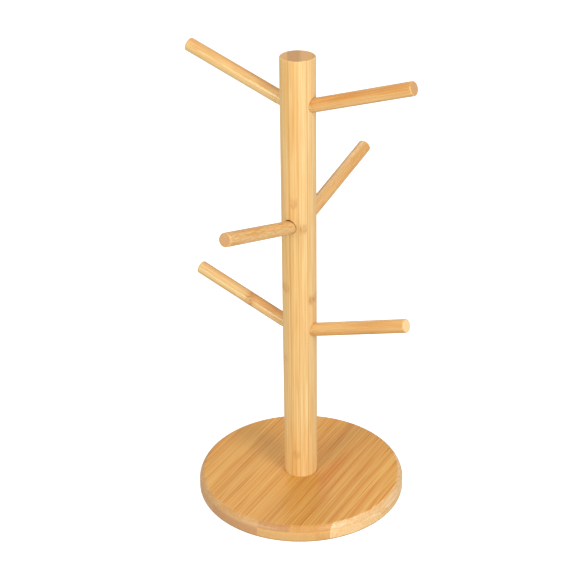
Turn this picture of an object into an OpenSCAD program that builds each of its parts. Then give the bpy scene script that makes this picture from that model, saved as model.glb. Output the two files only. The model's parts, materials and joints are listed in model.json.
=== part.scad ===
// Mug tree: a round base disc, a round post and six dowel pegs that rise outwards in three tiers.
// Origin on the post's axis at the floor. +Z up. The top and low tiers lie along X, the middle tier along Y.
// Sizes in millimetres, angles in degrees.

/* [Base] */
// Diameter of the base disc
base_d = 150; // [120:1:220]
// Thickness of the base disc
base_h = 11.5; // [11:0.5:25]
// Width of the rounded top edge, seen from above
edge_w = 3.6; // [1:0.1:4.5]
// Height of the rounded top edge
edge_h = 6; // [5:0.1:8]
// Chamfer round the underside
under_chamfer = 0.5; // [0.2:0.1:1.5]
// Depth of the shallow socket that the post stands in
socket_depth = 2; // [1:0.5:3]

/* [Post] */
// Diameter of the post
post_d = 24; // [19:0.5:40]
// Height of the post above the base
post_h = 318; // [260:1:420]
// Chamfer round the top of the post
post_chamfer = 0.6; // [0.2:0.1:2]
// Radial gap between the post's foot and its socket
socket_fit = 0.1; // [0.05:0.05:0.5]

/* [Pegs] */
// Diameter of a peg
peg_d = 9.5; // [7:0.1:12]
// Reach of a peg, from the post's axis to its tip along the peg
peg_reach = 90; // [60:1:140]
// Chamfer round a peg's tip
tip_chamfer = 0.8; // [0.2:0.1:2]
// Rise of a peg above the level, as drilled
peg_tilt = 19; // [10:0.5:30]
// How far each peg hangs below that rise
peg_droop = [-0.5, 0, 0, 3, 2, 0.5]; // [-3:0.5:5]
// How far each peg is turned off square, anticlockwise from above
peg_swing = [2, 0.5, -1, 0, -1.5, -0.5]; // [-5:0.5:5]
// How much each bore stands clear above its peg
bore_slack = [0, 0.2, 0, 0.7, 0, 0.2]; // [0:0.1:0.8]
// Drop from the top of the post to the top tier
top_drop = 35.5; // [25:0.5:60]
// Step from the top tier down to the middle tier
upper_step = 85; // [60:0.5:110]
// Step from the middle tier down to the low tier
lower_step = 81; // [60:0.5:110]
// Radial step from a peg down to its tenon
tenon_step = 0.2; // [0.2:0.05:1]
// Radial gap between a tenon and its bore
tenon_fit = 0.05; // [0.02:0.01:0.2]
// Gap between the end of a tenon and the bottom of its bore
tenon_end_gap = 0.3; // [0.1:0.1:1]
// Gap between the post and a peg's shoulder
shoulder_gap = 0.3; // [0.2:0.1:1]
// Wood left between two opposite bores
bore_web = 2.4; // [1:0.1:5]

/* [Bolt and insert] */
// Thread diameter of the bolt
bolt_d = 6; // [5:0.5:8]
// Thread pitch of the bolt
bolt_pitch = 1; // [0.8:0.1:1.25]
// Length of bolt inside the insert
bolt_bite = 13; // [9:0.5:14]
// Diameter of the bolt's head
head_d = 10.5; // [9.5:0.5:14]
// Height of the bolt's head
head_h = 3.3; // [3:0.1:4]
// Width across the flats of the hexagon socket
hex_w = 4; // [3:0.5:5]
// Depth of the hexagon socket
hex_depth = 2; // [1.5:0.1:2.5]
// How far the head lies inside the underside
head_recess = 0.4; // [0.2:0.1:1]
// Radial gap round the bolt in its holes
bolt_fit = 0.3; // [0.2:0.05:0.5]
// Outer diameter of the washer
washer_d = 16; // [14:0.5:18]
// Thickness of the washer
washer_h = 1.2; // [0.8:0.1:1.6]
// Radial gap round the washer in its recess
washer_fit = 0.6; // [0.3:0.1:2]
// Outer diameter of the insert's coarse thread
insert_d = 10; // [9.5:0.5:12]
// Pitch of the insert's coarse thread
insert_pitch = 2.5; // [2:0.25:3]
// Length of the insert
insert_h = 15; // [15:1:20]
// Radial gap between mating threads
thread_fit = 0.1; // [0.05:0.05:0.2]

/* [Feet] */
// Diameter of a foot pad
pad_d = 12; // [8:0.5:20]
// Thickness of a foot pad
pad_h = 1.5; // [1:0.1:4]
// Distance from the rim of the base to the middle of a pad
pad_inset = 13; // [11:0.5:20]

/* [Hidden] */
$fn = 96;
rim_facets = 192;             // the disc's rim is drawn finer than the rest
pad_count = 4;
peg_count = 6;
pegs_per_tier = 2;
overlap = 1;                  // how far a cut runs past its face, and a tenon into its peg
end_bevel = 0.5;              // bevel on the ends of threads and washers
base_r = base_d / 2;
post_r = post_d / 2;
peg_r = peg_d / 2;
tenon_r = peg_r - tenon_step;
floor_to_top = pad_h + base_h;
post_foot = floor_to_top - socket_depth;
post_top = floor_to_top + post_h;
tiers = [post_top - top_drop, post_top - top_drop - upper_step,
         post_top - top_drop - upper_step - lower_step];
bolt_recess = head_recess + head_h + washer_h;
washer_z = pad_h + head_recess + head_h;
edge_arc = (edge_w * edge_w + edge_h * edge_h) / (2 * edge_w);
thread_depth = 0.6;           // depth of a fine thread, as a share of its pitch
coarse_depth = 0.35;          // depth of a coarse thread, as a share of its pitch
insert_bore_end = 3;          // room left above the insert

// Where each peg leaves the post: left, right, back or front, by tier
function tier_of(i) = floor(i / pegs_per_tier);
function heading(i) = 90 * (tier_of(i) % 2) + (tier_of(i) % 2 == 0 ? 180 - 180 * (i % 2) : 180 * (i % 2))
                      + peg_swing[i];
function rise(i) = peg_tilt - peg_droop[i];
function bore_r(i) = tenon_r + tenon_fit + bore_slack[i] / 2;

// Distances along a peg, from the post's axis
function bore_start(i) = (bore_web / 2 + bore_r(i) * sin(rise(i))) / cos(rise(i));
function bore_mouth(i) = (post_r + bore_r(i) * sin(rise(i)) + overlap) / cos(rise(i));
function shoulder(i) = (post_r + shoulder_gap + peg_r * sin(rise(i))) / cos(rise(i));

// Zigzag outline of a ring thread, from its axis out
function thread_outline(r, depth, pitch, length) = let (turns = floor(length / pitch)) concat(
    [[0, 0], [r - depth, 0]],
    [for (k = [0 : turns - 1]) each [[r, (k + 0.5) * pitch], [r - depth, (k + 1) * pitch]]],
    [[r - depth, length], [0, length]]);

module ring_thread(r, depth, pitch, length) {
    rotate_extrude() polygon(thread_outline(r, depth, pitch, length));
}

// A cylinder along +Z with its far edge chamfered
module chamfered_rod(r, length, chamfer) {
    cylinder(r = r, h = length - chamfer);
    translate([0, 0, length - chamfer]) cylinder(r1 = r, r2 = r - chamfer, h = chamfer);
}

// Puts its children on a peg's axis, with +Z running out of the post
module on_peg(i) {
    translate([0, 0, tiers[tier_of(i)]])
        rotate([0, 0, heading(i)])
            rotate([0, 90 - rise(i), 0])
                children();
}

// Half of the disc's section: a square lower edge and an arc that meets the flat top at a crease
module base_section() {
    square([base_r, base_h - edge_h]);
    square([base_r - edge_w, base_h]);
    intersection() {
        translate([base_r - edge_arc, base_h - edge_h]) circle(r = edge_arc);
        translate([base_r - edge_w - overlap, 0]) square([edge_w + overlap, base_h]);
    }
}

module base() {
    color("burlywood")
        translate([0, 0, pad_h])
            difference() {
                rotate_extrude($fn = rim_facets) base_section();
                // chamfer round the underside
                difference() {
                    translate([0, 0, -overlap]) cylinder(r = base_r + overlap, h = overlap + under_chamfer);
                    cylinder(r1 = base_r - under_chamfer, r2 = base_r, h = under_chamfer);
                    translate([0, 0, -2 * overlap]) cylinder(r = base_r - under_chamfer, h = 2 * overlap);
                }
                translate([0, 0, base_h - socket_depth])
                    cylinder(r = post_r + socket_fit, h = socket_depth + overlap);
                translate([0, 0, -overlap]) cylinder(r = washer_d / 2 + washer_fit, h = bolt_recess + overlap);
                translate([0, 0, -overlap]) cylinder(r = bolt_d / 2 + bolt_fit, h = base_h + 2 * overlap);
            }
}

module post() {
    color("wheat")
        difference() {
            translate([0, 0, post_foot]) chamfered_rod(post_r, post_top - post_foot, post_chamfer);
            for (i = [0 : peg_count - 1])
                on_peg(i)
                    translate([-bore_slack[i] / 2, 0, bore_start(i)])
                        cylinder(r = bore_r(i), h = bore_mouth(i) - bore_start(i) + overlap);
            translate([0, 0, post_foot])
                ring_thread(insert_d / 2 + thread_fit, coarse_depth * insert_pitch, insert_pitch, insert_h);
            translate([0, 0, post_foot - overlap])
                cylinder(r = insert_d / 2 - coarse_depth * insert_pitch + thread_fit,
                         h = insert_h + insert_bore_end + overlap);
        }
}

module peg(i) {
    color("tan")
        on_peg(i) {
            translate([0, 0, bore_start(i) + tenon_end_gap])
                cylinder(r = tenon_r, h = shoulder(i) - bore_start(i) - tenon_end_gap + overlap);
            translate([0, 0, shoulder(i)]) chamfered_rod(peg_r, peg_reach - shoulder(i), tip_chamfer);
        }
}

module threaded_insert() {
    color("silver")
        translate([0, 0, post_foot])
            difference() {
                ring_thread(insert_d / 2, coarse_depth * insert_pitch, insert_pitch, insert_h);
                ring_thread(bolt_d / 2 + thread_fit, thread_depth * bolt_pitch, bolt_pitch, insert_h);
                translate([0, 0, -overlap])
                    cylinder(r = bolt_d / 2 - thread_depth * bolt_pitch + thread_fit, h = insert_h + 2 * overlap);
            }
}

module base_bolt() {
    neck = post_foot - washer_z;
    color("gray")
        difference() {
            union() {
                translate([0, 0, washer_z - head_h]) cylinder(r = head_d / 2 - end_bevel, h = head_h);
                translate([0, 0, washer_z - head_h + end_bevel])
                    cylinder(r = head_d / 2, h = head_h - end_bevel);
                translate([0, 0, washer_z - head_h])
                    cylinder(r1 = head_d / 2 - end_bevel, r2 = head_d / 2, h = end_bevel);
                translate([0, 0, washer_z])
                    cylinder(r = bolt_d / 2 - thread_depth * bolt_pitch, h = neck + end_bevel);
                translate([0, 0, washer_z]) cylinder(r = bolt_d / 2, h = neck - bolt_pitch);
                translate([0, 0, post_foot])
                    ring_thread(bolt_d / 2, thread_depth * bolt_pitch, bolt_pitch, bolt_bite);
            }
            translate([0, 0, washer_z - head_h - overlap])
                cylinder(r = hex_w / 2 / cos(30), h = hex_depth + overlap, $fn = 6);
        }
}

module washer() {
    color("silver")
        translate([0, 0, washer_z])
            difference() {
                cylinder(r = washer_d / 2, h = washer_h);
                translate([0, 0, -overlap]) cylinder(r = bolt_d / 2 + bolt_fit, h = washer_h + 2 * overlap);
            }
}

module foot_pad(i) {
    turn = 360 / pad_count;
    color("dimgray")
        rotate([0, 0, turn * (i + 0.5)]) translate([base_r - pad_inset, 0, 0]) cylinder(r = pad_d / 2, h = pad_h);
}

base();
post();
peg(0);  // peg_top_left
peg(1);  // peg_top_right
peg(2);  // peg_middle_back
peg(3);  // peg_middle_front
peg(4);  // peg_low_left
peg(5);  // peg_low_right
threaded_insert();
base_bolt();
washer();
foot_pad(0);  // foot_pad_1
foot_pad(1);  // foot_pad_2
foot_pad(2);  // foot_pad_3
foot_pad(3);  // foot_pad_4
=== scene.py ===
"""Finish and stage for a bamboo mug tree: laminated disc and post, dowel pegs, steel fixings and pads."""
import json
import math

import bmesh
import bpy
from mathutils import Matrix, Vector


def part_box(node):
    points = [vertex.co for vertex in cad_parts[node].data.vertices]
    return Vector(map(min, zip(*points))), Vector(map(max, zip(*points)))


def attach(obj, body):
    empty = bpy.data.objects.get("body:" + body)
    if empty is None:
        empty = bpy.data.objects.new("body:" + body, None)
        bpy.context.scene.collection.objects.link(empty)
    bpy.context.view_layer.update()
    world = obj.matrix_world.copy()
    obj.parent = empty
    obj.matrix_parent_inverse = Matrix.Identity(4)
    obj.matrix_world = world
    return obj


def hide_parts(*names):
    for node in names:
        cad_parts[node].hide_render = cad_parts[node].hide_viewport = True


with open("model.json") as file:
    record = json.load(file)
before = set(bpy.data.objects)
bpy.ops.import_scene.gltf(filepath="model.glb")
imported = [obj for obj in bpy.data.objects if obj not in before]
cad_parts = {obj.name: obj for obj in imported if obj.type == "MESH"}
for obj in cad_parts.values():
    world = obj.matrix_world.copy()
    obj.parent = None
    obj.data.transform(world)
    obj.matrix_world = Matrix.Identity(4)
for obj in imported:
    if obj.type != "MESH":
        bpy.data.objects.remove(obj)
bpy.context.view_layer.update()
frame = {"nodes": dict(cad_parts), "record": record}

bl_info = {
    "name": "Bamboo Mug Tree",
    "version": (1, 0, 0),
    "blender": (4, 5, 0),
    "location": "View3D > Sidebar > Mug Tree",
    "description": "Finishes a bamboo mug tree and sets it on a plain studio floor",
    "category": "Object",
}

MM = 0.001
BODY = "root"
MOUNTS = {m["name"]: m for m in frame["record"]["mounts"]}
PADS = [name for name in frame["nodes"] if name.startswith("foot_pad_")]

# Meshes
SHARP = math.radians(33)        # edges that turn by more than this stay crisp
DISC_FACETS = 192
PEG_FACETS = 64
PAD_FACETS = 48
RIM_STEPS = 14                  # steps in the disc's rounded edge
PEG_STEPS = 8                   # rings along a peg
MERGE = 0.001 * MM              # points closer than this become one
NEAR_RING = 0.01 * MM           # points closer than this to a ring edge are on it

# Stage
LIGHT_AIM = 0.15                # height that the lights shine at, in metres
LIGHT_SIZE = 0.7                # width of each light, in metres
LIGHTS = {                      # turn from the camera's side and rise, in degrees, and distance in metres
    "key": (38, 26, 1.4),
    "fill": (-40, 22, 1.5),
    "back": (190, 52, 1.4),
}
FLOOR_REACH = 30.0              # how far the floor runs, in metres
FLOOR_GREY = 0.5

# The disc's strips. All the sizes from here on are in millimetres.
DISC_GRAIN = math.radians(94)   # the strips of the disc run nearly from front to back
LOWER_PLY = 7.5                 # thickness of the disc's lower ply
DISC_JOINT = 5.0                # one glue line of the disc, across its strips from the middle
DISC_STRIP = 22.5               # width of its strips
DISC_SHIFT = 41.0               # how far the grain jumps from each strip of the disc to the next
PLY_SHIFT = 77.0                # how far it jumps from the lower ply to the upper one
UPPER_JOINTS = (5, 27, 52)      # where the upper ply changes its tone
LOWER_JOINTS = (-37, 5, 52)     # where the lower ply does
TOP_SHADES = ((-46, 1.03), (-39, 0.97), (-22, 1.04), (4, 1.03), (8, 0.92), (14, 0.96), (19, 1.0), (29, 0.96),
              (50, 1.0), (56, 1.06))        # how light the lacquered top is, across its strips

# The post's strips
POST_GRAIN = math.radians(33)   # the strips of the post lie side by side along this line
POST_JOINTS = (-6.3, -0.3, 5.7)     # glue lines in the post, from its axis
POST_STRIP = 6.0                # width of its strips
POST_SHIFT = 53.0               # how far the grain jumps from each strip of the post to the next
POST_KNUCKLES = (               # from and to across the strips, height above the floor, and strength
    (-12.5, -6.3, 167, 0.6),
    (-12.5, -8, 111, 0.4),
    (-6.3, -0.3, 32, 0.9),
    (-6.3, -0.3, 232, 0.7),
    (-0.3, 5.7, 213, 1.0),
    (5.7, 12.5, 158, 0.95),
)

# Bamboo
PEG_SHIFT = (37.0, 19.0, 211.0)     # how far the grain moves from each peg to the next
LACQUER_IOR = 1.42
WARM_TINT = (0.96, 0.89, 0.78)      # colour of its warm clouds, as a share of the ground
BROWN_TINT = (0.80, 0.50, 0.20)     # colour of its fibre bundles and thin lines, as a share of the ground
DARK_STREAK = (0.12, 0.29, 0.52)    # what the darkest streaks take from the ground
LIGHT_STREAK = (0.06, 0.11, 0.20)   # what the lightest add
CUT_TINTS = ((0.90, 0.86, 0.80), (1.06, 1.08, 1.11))    # dark and light specks of a cut end

# Each peg's wood: its tone and its cut end's, where its skin side faces (in degrees, 0 is up) and how strong
# that is, how far its grain waves, how strong the grain is, and how far along it has a knuckle
PEG_LOOKS = {
    "peg_top_left": dict(tone="peg_straw", end="straw", skin_turn=30, skin=0.6, wave=0.5, contrast=0.8),
    "peg_top_right": dict(tone="peg_gold", end="rose", skin_turn=0, skin=0.5, wave=0.5, contrast=1.0),
    "peg_middle_back": dict(tone="peg_tan", end="tan", skin_turn=130, skin=0.4, wave=2.5, contrast=0.8),
    "peg_middle_front": dict(tone="peg_tan", end="rose", skin_turn=60, skin=0.5, wave=5.0, contrast=1.0),
    "peg_low_left": dict(tone="peg_straw", end="straw", skin_turn=30, skin=0.45, wave=1.0, contrast=0.8,
                         knuckle=43.0),
    "peg_low_right": dict(tone="peg_gold", end="straw", skin_turn=180, skin=0.1, wave=1.0, contrast=0.8),
}

FIXINGS = {"threaded_insert": 0.34, "base_bolt": 0.28, "washer": 0.32}      # roughness of each


# ---------------------------------------------------------------- settings

def colour(name, description, value):
    """A colour setting."""
    return bpy.props.FloatVectorProperty(name=name, description=description, subtype="COLOR", default=value,
                                         min=0, max=1)


def length(name, description, millimetres, most=200):
    """A length setting, in metres."""
    return bpy.props.FloatProperty(name=name, description=description, default=millimetres * MM, min=0,
                                   max=most * MM, precision=5, subtype="DISTANCE", unit="LENGTH")


def angle(name, description, degrees):
    """An angle setting."""
    return bpy.props.FloatProperty(name=name, description=description, default=math.radians(degrees),
                                   subtype="ANGLE")


def power(name, description, watts):
    """A light's power setting, in watts."""
    return bpy.props.FloatProperty(name=name, description=description, default=watts, min=0, max=200,
                                   subtype="POWER", unit="POWER")


def amount(name, description, value, least, most):
    """A plain number setting."""
    return bpy.props.FloatProperty(name=name, description=description, default=value, min=least, max=most,
                                   subtype="FACTOR")


class BambooSettings(bpy.types.PropertyGroup):
    """Colours and gloss of the bamboo."""

    straw: colour("Straw", "Pale yellow strips", (0.90, 0.64, 0.33))
    honey: colour("Honey", "Orange-yellow strips", (0.73, 0.425, 0.15))
    tan: colour("Tan", "Light brown strips", (0.72, 0.44, 0.185))
    rose: colour("Rose", "Pinkish brown strips", (0.62, 0.35, 0.15))
    russet: colour("Russet", "Reddish strip in the disc's rim", (0.54, 0.285, 0.11))
    fawn: colour("Fawn", "Dull brown strips", (0.63, 0.385, 0.165))
    amber: colour("Amber", "The dense wood next to the skin", (0.70, 0.335, 0.09))
    # Partly the top's own more orange tone and partly painted shade: darker than the rim for the dimmer
    # light that falls on the upper face
    disc_top_tone_and_shade: colour("Disc top", "Lacquered upper face of the disc", (0.688, 0.373, 0.091))
    post_outer: colour("Post, outer strip", "First strip of the post", (0.82, 0.56, 0.235))
    post_inner: colour("Post, inner strip", "Second strip of the post", (0.79, 0.515, 0.203))
    post_pale: colour("Post, pale strip", "Third strip of the post", (0.82, 0.57, 0.255))
    post_warm: colour("Post, warm strip", "Fourth strip of the post", (0.81, 0.56, 0.25))
    peg_straw: colour("Peg, straw", "Palest pegs", (0.82, 0.61, 0.29))
    peg_gold: colour("Peg, gold", "Golden pegs", (0.80, 0.505, 0.205))
    peg_tan: colour("Peg, tan", "Light brown pegs", (0.78, 0.51, 0.22))
    knuckle: colour("Knuckle", "Brown of the joints in the cane", (0.56, 0.26, 0.08))
    glue: colour("Glue line", "Thin line between two strips", (0.60, 0.34, 0.12))
    roughness: amount("Roughness", "Roughness of the satin lacquer", 0.38, 0.05, 1)
    peg_roughness: amount("Peg roughness", "Roughness of the smoother lacquer on the pegs", 0.24, 0.05, 1)


class ShapeSettings(bpy.types.PropertyGroup):
    """Rounded edges and clearances."""

    edge_width: length("Rim width", "Width of the disc's rounded top edge, from above", 3.6, 10)
    edge_height: length("Rim height", "Height of the disc's rounded top edge", 6.0, 11)
    crease: length("Crease", "Rounding of the crease round the disc's top", 0.35, 2)
    under: length("Underside edge", "Rounding round the disc's underside", 0.5, 2)
    socket_gap: length("Socket gap", "Gap round the post's foot", 0.1, 1)
    washer_gap: length("Washer gap", "Gap round the washer in its recess", 0.6, 3)
    bolt_hole: length("Bolt hole", "Radius of the hole for the bolt", 3.3, 8)
    peg_tip: length("Peg tip", "Width of the eased edge round a peg's tip", 0.8, 3)
    tenon: length("Tenon", "Radius of a peg's glued end", 4.55, 8)
    pad_edge: length("Pad edge", "Rounding round a foot pad", 0.45, 0.7)


class HardwareSettings(bpy.types.PropertyGroup):
    """Colours of the fixings and the foot pads."""

    threaded_insert: colour("Insert", "Yellowish zinc of the threaded insert", (0.60, 0.54, 0.42))
    base_bolt: colour("Bolt", "Bluish zinc of the bolt", (0.58, 0.60, 0.64))
    washer: colour("Washer", "Pale zinc of the washer", (0.66, 0.68, 0.71))
    foam_dark: colour("Foam, darker", "Darker clouds in the pads' foam", (0.62, 0.61, 0.58))
    foam_light: colour("Foam, lighter", "Lighter clouds in the pads' foam", (0.70, 0.69, 0.66))
    pore: colour("Pore", "Closed pores in the pads' foam", (0.36, 0.35, 0.33))


class StageSettings(bpy.types.PropertyGroup):
    """Camera, light and floor."""

    turn: angle("Turn", "Camera's turn round the post, from the front", 32.73)
    distance: length("Distance", "Camera's distance from the post's axis, along the floor", 926.6, 5000)
    height: length("Height", "Camera's height above the floor", 647.5, 3000)
    aim_height: length("Aim height", "Height on the post's axis that the camera looks at", 161.3, 1000)
    aim_left: length("Aim left", "How far to the left of the axis the camera looks", 6.6, 100)
    roll: angle("Roll", "Camera's roll, anticlockwise as seen from behind it", 0.687)
    lens: bpy.props.FloatProperty(
        name="Lens", description="Focal length for a 36 mm frame, in millimetres", default=93.54, min=20,
        max=300, subtype="DISTANCE_CAMERA", unit="CAMERA")
    key: power("Key light", "Power of the soft light at the front right, in watts", 11.6)
    fill: power("Fill light", "Power of the soft light at the front left, in watts", 9.0)
    back: power("Back light", "Power of the high soft light behind the object, in watts", 3.5)
    surround: amount("Surround", "Brightness of the white surround", 0.55, 0, 5)
    floor_glow: amount("Floor glow", "Light of the lit floor itself", 0.9, 0, 2)


# ---------------------------------------------------------------- materials

def shade(tone, *shares):
    """A colour times one share, or times one each for red, green and blue."""
    if len(shares) == 1:
        shares = shares * 3
    return tuple(part * share for part, share in zip(tone, shares))


class Graph:
    """Shorthand for building one material's nodes."""

    def __init__(self, name):
        self.material = bpy.data.materials.new(name)
        self.material.use_nodes = True
        self.tree = self.material.node_tree
        self.shader = self.tree.nodes["Principled BSDF"]

    def put(self, socket, value):
        """Links an input from an output, or sets it to a plain value."""
        if isinstance(value, bpy.types.NodeSocket):
            self.tree.links.new(value, socket)
        elif hasattr(value, "__len__") and len(value) == 3 and len(socket.default_value) == 4:
            socket.default_value = (*value, 1.0)
        else:
            socket.default_value = value

    def add(self, kind, inputs, **settings):
        """Adds a node with its settings and inputs."""
        made = self.tree.nodes.new(kind)
        for key, value in settings.items():
            setattr(made, key, value)
        for key, value in inputs.items():
            self.put(made.inputs[key], value)
        return made

    def math(self, operation, a, b=0.0, c=0.0):
        """A sum on up to three numbers."""
        return self.add("ShaderNodeMath", {0: a, 1: b, 2: c}, operation=operation).outputs[0]

    def apart(self, a, b):
        """How far two numbers are apart."""
        return self.math("ABSOLUTE", self.math("SUBTRACT", a, b))

    def vector(self, operation, a, b):
        """A sum on two vectors."""
        made = self.add("ShaderNodeVectorMath", {0: a, 1: b}, operation=operation)
        return made.outputs["Value" if operation == "DOT_PRODUCT" else "Vector"]

    def split(self, vector):
        """The X, Y and Z of a vector."""
        return self.add("ShaderNodeSeparateXYZ", {0: vector}).outputs

    def join(self, x, y, z):
        """A vector from its X, Y and Z."""
        return self.add("ShaderNodeCombineXYZ", {0: x, 1: y, 2: z}).outputs[0]

    def mix(self, share, a, b, blend="MIX"):
        """Colour a with a share of colour b."""
        made = self.add("ShaderNodeMix", {}, data_type="RGBA", blend_type=blend)
        self.put(made.inputs[0], share)
        self.put(made.inputs[6], a)
        self.put(made.inputs[7], b)
        return made.outputs[2]

    def steps(self, value, low, high, to_low=0.0, to_high=1.0):
        """Smooth step of value from low to high."""
        return self.add("ShaderNodeMapRange", {0: value, 1: low, 2: high, 3: to_low, 4: to_high},
                        interpolation_type="SMOOTHSTEP").outputs[0]

    def noise(self, vector, detail=2.0, roughness=0.5):
        """Noise from 0 to 1, one unit of the vector to a blob."""
        return self.add("ShaderNodeTexNoise", {"Vector": vector, "Scale": 1.0, "Detail": detail,
                                               "Roughness": roughness}).outputs[0]

    def cells(self, vector):
        """Distance to the nearest of some scattered points."""
        return self.add("ShaderNodeTexVoronoi", {"Vector": vector, "Scale": 1.0}).outputs["Distance"]

    def ramp(self, value, reach, stops, interpolation="CONSTANT"):
        """Colour by place, from -reach to reach: stops are (place, colour)."""
        made = self.add("ShaderNodeValToRGB", {})
        ramp = made.color_ramp
        ramp.interpolation = interpolation
        while len(ramp.elements) < len(stops):
            ramp.elements.new(0.5)
        for element, (where, tone) in zip(ramp.elements, stops):
            element.position = (where + reach) / (2 * reach)
            element.color = (*tone, 1.0)
        self.put(made.inputs[0], self.add("ShaderNodeMapRange", {0: value, 1: -reach, 2: reach}).outputs[0])
        return made.outputs[0]

    def strips(self, value, reach, joints, tones):
        """Strips side by side, one tone each, that meet at the joints."""
        return self.ramp(value, reach, list(zip((-reach, *joints), tones)))

    def strip_shift(self, value, joint, width, shift):
        """A number that grows by the shift from each strip to the next, so that no two share their grain."""
        strip = self.math("FLOOR", self.math("DIVIDE", self.math("SUBTRACT", value, joint), width))
        return self.math("MULTIPLY", strip, shift)

    def normal(self):
        """The surface's own normal."""
        return self.add("ShaderNodeNewGeometry", {}).outputs["Normal"]

    def stretched(self, vector, across, along):
        """Scales grain space so that a pattern is so many millimetres across and along the grain."""
        return self.vector("MULTIPLY", vector, (1 / across, 1 / across, 1 / along))

    def surface(self, tone, rough, relief, strength, depth, **settings):
        """Sets the shader's colour and roughness, and a bump of so many millimetres from the relief."""
        self.put(self.shader.inputs["Base Color"], tone)
        self.put(self.shader.inputs["Roughness"], rough)
        bump = self.add("ShaderNodeBump", {"Strength": strength, "Distance": depth * MM, "Height": relief},
                        **settings)
        self.put(self.shader.inputs["Normal"], bump.outputs[0])


def grain_space(graph, origin, along, across):
    """Place in millimetres with Z along the grain, X across the strips and Y through them."""
    z = Vector(along).normalized()
    x = (Vector(across) - z * z.dot(across)).normalized()
    turn = Matrix((x, z.cross(x), z)).transposed()
    place = graph.add("ShaderNodeTexCoord", {}).outputs["Object"]
    made = graph.add("ShaderNodeMapping", {"Vector": place, "Location": origin, "Rotation": turn.to_euler(),
                                           "Scale": (MM, MM, MM)}, vector_type="TEXTURE")
    return made.outputs[0]


def fibres(graph, place, stripe, run):
    """The cane's grain: a tone, thin dark lines, brown fibre bundles and fine hairs, each from 0 to 1.
    All run along the grain, so that they are lines on a long face and dots on a cut end."""
    bands = graph.noise(graph.stretched(place, 4.0, 900.0), 1.0)
    streaks = graph.noise(graph.stretched(place, stripe, run), 2.0, 0.6)
    hairs = graph.noise(graph.stretched(place, 0.22, 40.0))
    tone = graph.math("MULTIPLY_ADD", bands, 0.6, graph.math("MULTIPLY_ADD", streaks, 2.6, -1.1))
    tone = graph.math("MULTIPLY_ADD", hairs, 0.5, graph.math("SUBTRACT", tone, 0.25))
    bundles = graph.steps(graph.cells(graph.stretched(place, 1.25, 90.0)), 0.08, 0.34, 1.0, 0.0)
    patches = graph.noise(graph.stretched(place, 4.0, 160.0), 1.0)
    bundles = graph.math("MULTIPLY", bundles, graph.steps(patches, 0.4, 0.58, 0.15, 1.0))
    # A thin line follows the places where a broad noise crosses its middle value.
    swell = graph.noise(graph.stretched(place, 2.2 * stripe + 0.5, run), 1.0)
    lines = graph.steps(graph.apart(swell, 0.5), 0.01, 0.065, 1.0, 0.0)
    fading = graph.noise(graph.stretched(place, 3.0, run / 4), 1.0)
    lines = graph.math("MULTIPLY", lines, graph.steps(fading, 0.36, 0.56, 0.1, 1.0))
    return graph.steps(tone, 0.1, 0.9), lines, bundles, hairs


def knuckles(graph, x, z, marks):
    """Brown streaky joints in the cane: marks are (from x, to x, height, strength)."""
    total = None
    wobble = graph.noise(graph.stretched(graph.join(x, 4.0, z), 2.0, 14.0), 1.0)
    lifted = graph.math("MULTIPLY_ADD", wobble, 5.0, z)
    for low, high, height, strength in marks:
        halo = graph.steps(graph.apart(lifted, height + 2.5), 1.0, 5.5, 0.9, 0.0)
        streaks = graph.noise(graph.stretched(graph.join(x, height, z), 0.9, 3.5), 3.0, 0.65)
        blotch = graph.math("MULTIPLY", halo, graph.steps(streaks, 0.36, 0.62, 0.15, 1.0))
        reach = (high - low) / 2
        inside = graph.steps(graph.apart(x, (low + high) / 2), reach - 1.2, reach, strength, 0.0)
        mark = graph.math("MULTIPLY", blotch, inside)
        total = mark if total is None else graph.math("MAXIMUM", total, mark)
    return total


def bamboo(graph, place, ground, along, tones, ends, rough, contrast, stripe, run, lined, marks=None):
    """Lays the grain over a ground colour, shows cut ends in their own tone, and adds satin lacquer.
    The stripe and run are the width and length of the grain's streaks; lined is how dark its lines are."""
    tone, lines, bundles, hairs = fibres(graph, place, stripe, run)
    clouds = graph.noise(graph.stretched(place, 4.5, 60.0))
    warm = graph.mix(1.0, ground, WARM_TINT, "MULTIPLY")
    ground = graph.mix(graph.steps(clouds, 0.42, 0.68, 0.0, 0.9), ground, warm)
    dark = tuple(1 - contrast * share for share in DARK_STREAK)
    light = tuple(1 + contrast * share for share in LIGHT_STREAK)
    long_face = graph.mix(1.0, ground, graph.mix(tone, dark, light), "MULTIPLY")
    brown = graph.mix(1.0, ground, BROWN_TINT, "MULTIPLY")

    # How squarely the surface cuts the grain: 0 on a long face, 1 on a cut end
    square = graph.math("ABSOLUTE", graph.vector("DOT_PRODUCT", graph.normal(), tuple(along)))
    lines = graph.math("MULTIPLY", lines, graph.steps(square, 0.1, 0.4, lined, 0.0))
    darkness = graph.math("MAXIMUM", graph.math("MULTIPLY", bundles, 0.42 * contrast), lines)
    long_face = graph.mix(darkness, long_face, brown)
    if marks is not None:
        long_face = graph.mix(marks, long_face, tones.knuckle)

    speckle = graph.steps(graph.noise(graph.stretched(place, 0.45, 30.0), 2.0, 0.7), 0.35, 0.65)
    cut = graph.mix(1.0, ends, graph.mix(speckle, *CUT_TINTS), "MULTIPLY")
    cut = graph.mix(graph.math("MULTIPLY", bundles, 0.16), cut, brown)
    wood = graph.mix(graph.steps(square, 0.75, 0.97), long_face, cut)
    gloss = graph.steps(tone, 0.2, 0.8, rough + 0.08, rough - 0.06)
    relief = graph.math("MULTIPLY_ADD", hairs, 0.6, graph.math("MULTIPLY", bundles, -0.5))
    graph.surface(wood, gloss, relief, 0.4, 0.03)
    graph.shader.inputs["IOR"].default_value = LACQUER_IOR
    return graph.material


def dress(node, material):
    """Gives a CAD node its material."""
    slots = frame["nodes"][node].data.materials
    slots.clear()
    slots.append(material)


# ---------------------------------------------------------------- shapes

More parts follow.
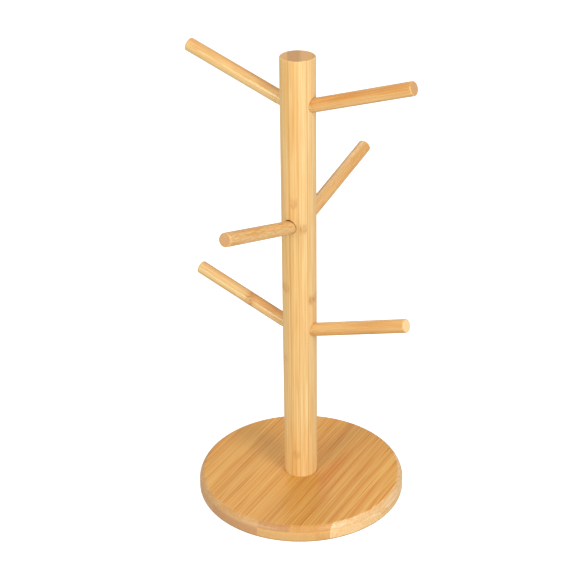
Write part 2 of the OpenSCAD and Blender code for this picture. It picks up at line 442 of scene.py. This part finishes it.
def lathe(outline, facets, closed=False):
    """Spins an outline of (radius, height) round Z and returns the bmesh."""
    shape = bmesh.new()
    points = [shape.verts.new((radius, 0, height)) for radius, height in outline]
    edges = [shape.edges.new(pair) for pair in zip(points, points[1:])]
    if closed:
        edges.append(shape.edges.new((points[-1], points[0])))
    bmesh.ops.spin(shape, geom=points + edges, cent=(0, 0, 0), axis=(0, 0, 1), angle=math.tau, steps=facets,
                   use_merge=True)
    bmesh.ops.remove_doubles(shape, verts=shape.verts, dist=MERGE)
    bmesh.ops.recalc_face_normals(shape, faces=shape.faces)
    return shape


def round_ring(shape, radius, height, width, segments):
    """Rounds the ring edge at a radius and a height."""
    def on_ring(vert):
        return math.hypot(math.hypot(vert.co.x, vert.co.y) - radius, vert.co.z - height) < NEAR_RING
    edges = [edge for edge in shape.edges if all(on_ring(vert) for vert in edge.verts)]
    if not edges:
        raise RuntimeError(f"no ring edge at radius {radius} and height {height}")
    bmesh.ops.bevel(shape, geom=edges, offset=width, offset_type="OFFSET", affect="EDGES",
                    segments=segments, profile=0.5, material=-1)


def finish_piece(shape, name, node, material, place=None):
    """Turns a bmesh into a smooth-shaded piece that stands for a CAD node."""
    if place is not None:
        bmesh.ops.transform(shape, matrix=place, verts=shape.verts)
    for face in shape.faces:
        face.smooth = True
    for edge in shape.edges:
        edge.smooth = edge.calc_face_angle(0) < SHARP
    mesh = bpy.data.meshes.new(name)
    shape.to_mesh(mesh)
    shape.free()
    mesh.materials.append(material)
    piece = bpy.data.objects.new(name, mesh)
    bpy.context.scene.collection.objects.link(piece)
    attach(piece, BODY)
    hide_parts(node)
    return piece


# ---------------------------------------------------------------- the object's pieces

class MUGTREE_OT_base(bpy.types.Operator):
    """Disc of two glued plies of flat strips, with a rounded rim and a socket for the post"""
    bl_idname = "mugtree.base"
    bl_label = "Base"

    def execute(self, context):
        shape = context.scene.mugtree_shape
        low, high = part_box("base")
        post_low, post_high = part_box("post")
        washer_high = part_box("washer")[1]
        radius = high.x
        socket = post_high.x + shape.socket_gap
        recess = washer_high.x + shape.washer_gap
        spare = 2 * shape.crease        # a narrow ring beside an edge, which keeps its shading crisp
        underside = [(shape.bolt_hole, washer_high.z), (recess, washer_high.z), (recess, low.z),
                     (recess + spare, low.z), (radius - 3 * shape.under, low.z), (radius, low.z),
                     (radius, low.z + 3 * shape.under)]
        arc = (shape.edge_width ** 2 + shape.edge_height ** 2) / (2 * shape.edge_width)
        sweep = math.asin(shape.edge_height / arc)
        rim = []
        for step in range(RIM_STEPS + 1):
            turn = sweep * step / RIM_STEPS
            rim.append((radius - arc + arc * math.cos(turn),
                        high.z - shape.edge_height + arc * math.sin(turn)))
        crease_radius, crease_height = rim[-1]
        top = [(crease_radius - spare, high.z), (socket + spare, high.z), (socket, high.z),
               (socket, post_low.z), (shape.bolt_hole, post_low.z)]
        disc = lathe(underside + rim + top, DISC_FACETS, closed=True)
        round_ring(disc, crease_radius, crease_height, shape.crease, 2)
        round_ring(disc, radius, low.z, shape.under, 3)
        finish_piece(disc, "base_disc", "base", self.finish(context))
        return {"FINISHED"}

    def finish(self, context):
        """Strips along one diameter, each with its own tone. The upper ply covers a thicker lower one."""
        tones = context.scene.mugtree_bamboo
        low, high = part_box("base")
        along = Vector((math.cos(DISC_GRAIN), math.sin(DISC_GRAIN), 0))
        across = Vector((math.sin(DISC_GRAIN), -math.cos(DISC_GRAIN), 0))
        graph = Graph("base_bamboo")
        place = grain_space(graph, (0, 0, low.z), along, across)
        x, through, _ = graph.split(place)
        reach = high.x / MM
        deep = shade(tones.honey, 0.88, 0.80, 0.70)
        cream = shade(tones.straw, 0.87, 0.85, 0.85)
        rose = shade(tones.rose, 0.97, 0.89, 0.88)
        upper = graph.strips(x, reach, UPPER_JOINTS, (tones.fawn, tones.russet, deep, cream))
        lower = graph.strips(x, reach, LOWER_JOINTS, (tones.fawn, rose, tones.honey, tones.straw))
        height = graph.math("ABSOLUTE", through)
        is_upper = graph.math("GREATER_THAN", height, LOWER_PLY)
        side = graph.mix(is_upper, lower, upper)
        facing_up = graph.split(graph.normal())[2]
        side = graph.mix(graph.steps(facing_up, -0.98, -0.9, 0.6, 0.0), side, tones.honey)
        # Faces that look up take the top colour, lighter or darker strip by strip: partly the top's own tone
        # and partly painted shade, darker than the rim for the dimmer light on the top
        flat = graph.ramp(x, reach, [(where, shade(tones.disc_top_tone_and_shade, share, share ** 1.6, share ** 2.2))
                                     for where, share in ((-reach, 1.0), *TOP_SHADES)], "LINEAR")
        ground = graph.mix(graph.steps(facing_up, 0.93, 0.985), side, flat)
        shift = graph.strip_shift(x, DISC_JOINT, DISC_STRIP, DISC_SHIFT)
        ply_shift = graph.math("MULTIPLY", is_upper, PLY_SHIFT)
        place = graph.vector("ADD", place, graph.join(0.0, ply_shift, shift))
        ends = graph.mix(0.15, side, tones.fawn)
        # Painted shade: a dark line along the lowest edge of the rim, standing for the contact shade under
        # the disc
        painted_contact_shade = graph.steps(height, 0.3, 1.4, 0.8, 0.0)
        painted_contact_shade = graph.math("MULTIPLY", painted_contact_shade, graph.steps(facing_up, -0.9, -0.5))
        contact_shade_brown = shade(tones.knuckle, 0.6)
        ground = graph.mix(painted_contact_shade, ground, contact_shade_brown)
        ends = graph.mix(painted_contact_shade, ends, contact_shade_brown)
        return bamboo(graph, place, ground, along, tones, ends, tones.roughness,
                      contrast=0.85, stripe=0.45, run=260.0, lined=0.9)


class MUGTREE_OT_post(bpy.types.Operator):
    """Post of four glued upright strips, with a few knuckles"""
    bl_idname = "mugtree.post"
    bl_label = "Post"

    def execute(self, context):
        tones = context.scene.mugtree_bamboo
        across = Vector((math.cos(POST_GRAIN), math.sin(POST_GRAIN), 0))
        up = Vector((0, 0, 1))
        graph = Graph("post_bamboo")
        place = grain_space(graph, (0, 0, 0), up, across)
        x, _, z = graph.split(place)
        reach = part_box("post")[1].x / MM
        first, second, third = POST_JOINTS
        ground = graph.strips(x, reach, POST_JOINTS,
                              (tones.post_outer, tones.post_inner, tones.post_pale, tones.post_warm))
        away = graph.apart(x, first)
        for joint in (second, third):
            away = graph.math("MINIMUM", away, graph.apart(x, joint))
        ground = graph.mix(graph.steps(away, 0.05, 0.5, 0.6, 0.0), ground, tones.glue)
        shift = graph.strip_shift(x, second, POST_STRIP, POST_SHIFT)
        grain = graph.vector("ADD", place, graph.join(0.0, 0.0, shift))
        tan = shade(tones.tan, 0.98, 0.86, 0.62)
        dull = shade(tan, 0.80, 0.74, 0.72)
        dark = shade(tan, 0.7)
        ends = graph.ramp(x, reach, (
            (-reach, tan), (first - 0.4, tan), (first, dark), (first + 0.6, dull), (second - 0.3, dull),
            (second + 0.2, dark), (second + 3.5, tan), (third + 3.0, tan), (reach, dull)), "LINEAR")
        marks = knuckles(graph, x, z, POST_KNUCKLES)
        dress("post", bamboo(graph, grain, ground, up, tones, ends, tones.roughness,
                             contrast=0.55, stripe=0.8, run=110.0, lined=0.25, marks=marks))
        return {"FINISHED"}


class MUGTREE_OT_pegs(bpy.types.Operator):
    """Dowel pegs with eased tips, each turned from one strip of cane"""
    bl_idname = "mugtree.pegs"
    bl_label = "Pegs"

    def execute(self, context):
        shape = context.scene.mugtree_shape
        for number, (name, looks) in enumerate(PEG_LOOKS.items()):
            mount = MOUNTS[name + "_wall"]
            along = Vector(mount["axis"])
            centre = Vector(mount["pos_m"])
            start = centre - along * (centre.xy.length / along.xy.length)
            radius = mount["dims"]["r_mm"] * MM
            reaches = [(vert.co - start).dot(along) for vert in frame["nodes"][name].data.vertices]
            root, tip = min(reaches), max(reaches)
            shoulder = (centre - start).dot(along) - mount["dims"]["length_mm"] * MM / 2
            ease = shape.peg_tip
            tenon = shape.tenon
            outline = [(0, root), (tenon - ease, root), (tenon, root), (tenon, root + ease),
                       (tenon, shoulder), (radius, shoulder), (radius, shoulder + ease)]
            for step in range(1, PEG_STEPS):
                outline.append((radius, shoulder + (tip - shoulder) * step / PEG_STEPS))
            outline += [(radius, tip - 2 * ease), (radius, tip), (radius - 2 * ease, tip), (0, tip)]
            peg = lathe(outline, PEG_FACETS)
            round_ring(peg, radius, tip, ease, 4)
            across = along.cross((0, 0, 1)).normalized()
            turn = Matrix((across, along.cross(across), along)).transposed()
            place = Matrix.LocRotScale(start, turn.to_quaternion(), None)
            material = self.finish(context, name, number, start, along, across, looks)
            finish_piece(peg, name + "_dowel", name, material, place)
        return {"FINISHED"}

    def finish(self, context, name, number, start, along, across, looks):
        """Dense amber wood on the side that lay next to the skin, and paler wood inside."""
        tones = context.scene.mugtree_bamboo
        graph = Graph(name + "_bamboo")
        place = grain_space(graph, start, along, across)
        x, y, z = graph.split(place)
        turn = math.radians(looks["skin_turn"])
        outward = graph.math("MULTIPLY_ADD", x, math.sin(turn), graph.math("MULTIPLY", y, -math.cos(turn)))
        wave = graph.noise(graph.stretched(place, 5.0, 14.0), 1.0)
        outward = graph.math("MULTIPLY_ADD", graph.math("SUBTRACT", wave, 0.5), 6.0, outward)
        skin = graph.steps(outward, -1.0, 3.6, 0.0, looks["skin"])
        ground = graph.mix(skin, getattr(tones, looks["tone"]), tones.amber)
        grain = graph.vector("ADD", place, tuple(number * shift for shift in PEG_SHIFT))
        bend = graph.math("MULTIPLY", graph.math("SUBTRACT", wave, 0.5), looks["wave"])
        grain = graph.vector("ADD", grain, graph.join(bend, bend, 0.0))
        marks = None
        if "knuckle" in looks:
            knuckle = looks["knuckle"]
            marks = knuckles(graph, x, z, ((-9.0, 9.0, knuckle, 1.15),))
            # Between the post and the knuckle the wood is darker, most of all on its skin side.
            below = graph.steps(z, knuckle - 6.0, knuckle + 3.0, 0.6, 0.0)
            below = graph.math("MULTIPLY", below, graph.steps(outward, -2.0, 2.5, 0.25, 1.0))
            ground = graph.mix(below, ground, tones.amber)
        return bamboo(graph, grain, ground, along, tones, getattr(tones, looks["end"]), tones.peg_roughness,
                      contrast=looks["contrast"], stripe=0.6, run=160.0, lined=0.4, marks=marks)


class MUGTREE_OT_fixings(bpy.types.Operator):
    """Zinc-plated bolt and washer, and the zinc insert"""
    bl_idname = "mugtree.fixings"
    bl_label = "Fixings"

    def execute(self, context):
        for node, rough in FIXINGS.items():
            tone = getattr(context.scene.mugtree_hardware, node)
            graph = Graph(node + "_plated")
            place = grain_space(graph, (0, 0, 0), (0, 0, 1), (1, 0, 0))
            x, y, z = graph.split(place)
            squares = graph.math("MULTIPLY_ADD", x, x, graph.math("MULTIPLY", y, y))
            radius = graph.math("SQRT", squares)
            rings = graph.math("MULTIPLY", radius, 7.0)
            turned = graph.noise(graph.join(rings, graph.math("MULTIPLY", z, 7.0), 0.0), 3.0)
            clouds = graph.noise(graph.stretched(place, 2.5, 2.5), 3.0)
            metal = graph.mix(graph.steps(clouds, 0.35, 0.7), tone, shade(tone, 0.8))
            graph.shader.inputs["Metallic"].default_value = 1.0
            graph.surface(metal, graph.steps(clouds, 0.3, 0.7, rough, rough + 0.18), turned, 0.3, 0.02)
            dress(node, graph.material)
        return {"FINISHED"}


class MUGTREE_OT_pads(bpy.types.Operator):
    """Round foam rubber foot pads with soft edges"""
    bl_idname = "mugtree.pads"
    bl_label = "Foot pads"

    def execute(self, context):
        edge = context.scene.mugtree_shape.pad_edge
        material = self.finish(context.scene.mugtree_hardware)
        for node in PADS:
            low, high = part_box(node)
            middle = (low + high) / 2
            radius = (high.x - low.x) / 2
            outline = [(0, low.z), (radius - 3 * edge, low.z), (radius, low.z), (radius, high.z),
                       (radius - edge, high.z), (0, high.z)]
            pad = lathe(outline, PAD_FACETS)
            round_ring(pad, radius, low.z, edge, 3)
            round_ring(pad, radius, high.z, edge / 2, 2)
            place = Matrix.Translation((middle.x, middle.y, 0))
            finish_piece(pad, node + "_foam", node, material, place)
        return {"FINISHED"}

    def finish(self, tones):
        """Matt off-white foam with fine closed pores."""
        graph = Graph("foam_rubber")
        place = grain_space(graph, (0, 0, 0), (0, 0, 1), (1, 0, 0))
        pit = graph.steps(graph.cells(graph.stretched(place, 0.28, 0.28)), 0.1, 0.45, 1.0, 0.0)
        clouds = graph.noise(graph.stretched(place, 3.0, 3.0), 3.0)
        foam = graph.mix(graph.steps(clouds, 0.35, 0.65), tones.foam_dark, tones.foam_light)
        foam = graph.mix(graph.math("MULTIPLY", pit, 0.35), foam, tones.pore)
        graph.surface(foam, graph.steps(clouds, 0.3, 0.7, 0.78, 0.9), pit, 0.5, 0.08, invert=True)
        return graph.material


# ---------------------------------------------------------------- stage

def soft_light(name, power, turn, rise, distance):
    """A round area light that shines at the middle of the post."""
    lamp = bpy.data.lights.new(name, "AREA")
    lamp.shape = "DISK"
    lamp.size = LIGHT_SIZE
    lamp.energy = power
    light = bpy.data.objects.new(name, lamp)
    aim = Vector((0, 0, LIGHT_AIM))
    level = distance * math.cos(rise)
    light.location = (level * math.sin(turn), -level * math.cos(turn), LIGHT_AIM + distance * math.sin(rise))
    light.rotation_euler = (light.location - aim).to_track_quat("Z", "Y").to_euler()
    bpy.context.scene.collection.objects.link(light)


class MUGTREE_OT_stage(bpy.types.Operator):
    """Plain pale floor, soft light and the camera"""
    bl_idname = "mugtree.stage"
    bl_label = "Stage"

    def execute(self, context):
        stage = context.scene.mugtree_stage
        context.scene.view_settings.view_transform = "Standard"
        self.floor(context, stage)
        world = bpy.data.worlds.new("surround")
        context.scene.world = world
        world.use_nodes = True
        world.node_tree.nodes["Background"].inputs["Color"].default_value = (1, 1, 1, 1)
        world.node_tree.nodes["Background"].inputs["Strength"].default_value = stage.surround
        for name, (turn, rise, distance) in LIGHTS.items():
            soft_light(name, getattr(stage, name), stage.turn + math.radians(turn), math.radians(rise),
                       distance)
        self.camera(context, stage)
        return {"FINISHED"}

    def floor(self, context, stage):
        """The floor, and a white dome over it that lets the surround's light through."""
        shape = bmesh.new()
        bmesh.ops.create_grid(shape, x_segments=1, y_segments=1, size=FLOOR_REACH)
        self.backdrop(context, shape, "floor", FLOOR_GREY, stage.floor_glow)
        shape = bmesh.new()
        bmesh.ops.create_uvsphere(shape, u_segments=48, v_segments=24, radius=FLOOR_REACH)
        dome = self.backdrop(context, shape, "dome", 0.0, 1.0)
        dome.visible_shadow = False

    def backdrop(self, context, shape, name, grey, glow):
        """A pale surface that the camera sees, and that casts no light on the object."""
        mesh = bpy.data.meshes.new(name)
        shape.to_mesh(mesh)
        shape.free()
        graph = Graph(name)
        graph.shader.inputs["Base Color"].default_value = (grey, grey, grey, 1)
        graph.shader.inputs["Roughness"].default_value = 0.9
        graph.shader.inputs["Specular IOR Level"].default_value = 0.0
        graph.shader.inputs["Emission Color"].default_value = (1, 1, 1, 1)
        graph.shader.inputs["Emission Strength"].default_value = glow
        mesh.materials.append(graph.material)
        made = bpy.data.objects.new(name, mesh)
        context.scene.collection.objects.link(made)
        made.visible_diffuse = False
        made.visible_glossy = False
        return made

    def camera(self, context, stage):
        """The camera, at its distance and height, rolled a little about its line of sight."""
        out = Vector((math.sin(stage.turn), -math.cos(stage.turn), 0))
        right = Vector((math.cos(stage.turn), math.sin(stage.turn), 0))
        camera = bpy.data.objects.new("camera", bpy.data.cameras.new("camera"))
        camera.data.lens = stage.lens
        camera.data.clip_start = 0.01
        eye = out * stage.distance + Vector((0, 0, stage.height))
        aim = right * -stage.aim_left + Vector((0, 0, stage.aim_height))
        back = (eye - aim).normalized()
        side = Vector((0, 0, 1)).cross(back).normalized()
        up = back.cross(side)
        turned = side * math.cos(stage.roll) - up * math.sin(stage.roll)
        facing = Matrix((turned, back.cross(turned), back)).transposed()
        camera.matrix_world = Matrix.LocRotScale(eye, facing.to_quaternion(), None)
        context.scene.collection.objects.link(camera)
        context.scene.camera = camera


class MUGTREE_PT_panel(bpy.types.Panel):
    """Lists the mug tree's settings and operators"""
    bl_label = "Mug Tree"
    bl_space_type = "VIEW_3D"
    bl_region_type = "UI"
    bl_category = "Mug Tree"

    def draw(self, context):
        for name in SETTINGS:
            settings = getattr(context.scene, name)
            box = self.layout.box()
            for key in settings.bl_rna.properties.keys():
                if key not in ("rna_type", "name"):
                    box.prop(settings, key)
        for operator in OPERATORS:
            self.layout.operator(operator.bl_idname)


SETTINGS = {
    "mugtree_bamboo": BambooSettings,
    "mugtree_shape": ShapeSettings,
    "mugtree_hardware": HardwareSettings,
    "mugtree_stage": StageSettings,
}
OPERATORS = (MUGTREE_OT_stage, MUGTREE_OT_base, MUGTREE_OT_post, MUGTREE_OT_pegs, MUGTREE_OT_fixings,
             MUGTREE_OT_pads)
CLASSES = (*SETTINGS.values(), *OPERATORS, MUGTREE_PT_panel)


def register():
    for cls in CLASSES:
        bpy.utils.register_class(cls)
    for name, settings in SETTINGS.items():
        setattr(bpy.types.Scene, name, bpy.props.PointerProperty(type=settings))


def unregister():
    for name in SETTINGS:
        delattr(bpy.types.Scene, name)
    for cls in reversed(CLASSES):
        bpy.utils.unregister_class(cls)


def main():
    register()
    bpy.ops.mugtree.stage()
    bpy.ops.mugtree.base()
    bpy.ops.mugtree.post()
    bpy.ops.mugtree.pegs()
    bpy.ops.mugtree.fixings()
    bpy.ops.mugtree.pads()


if __name__ == "__main__":
    main()
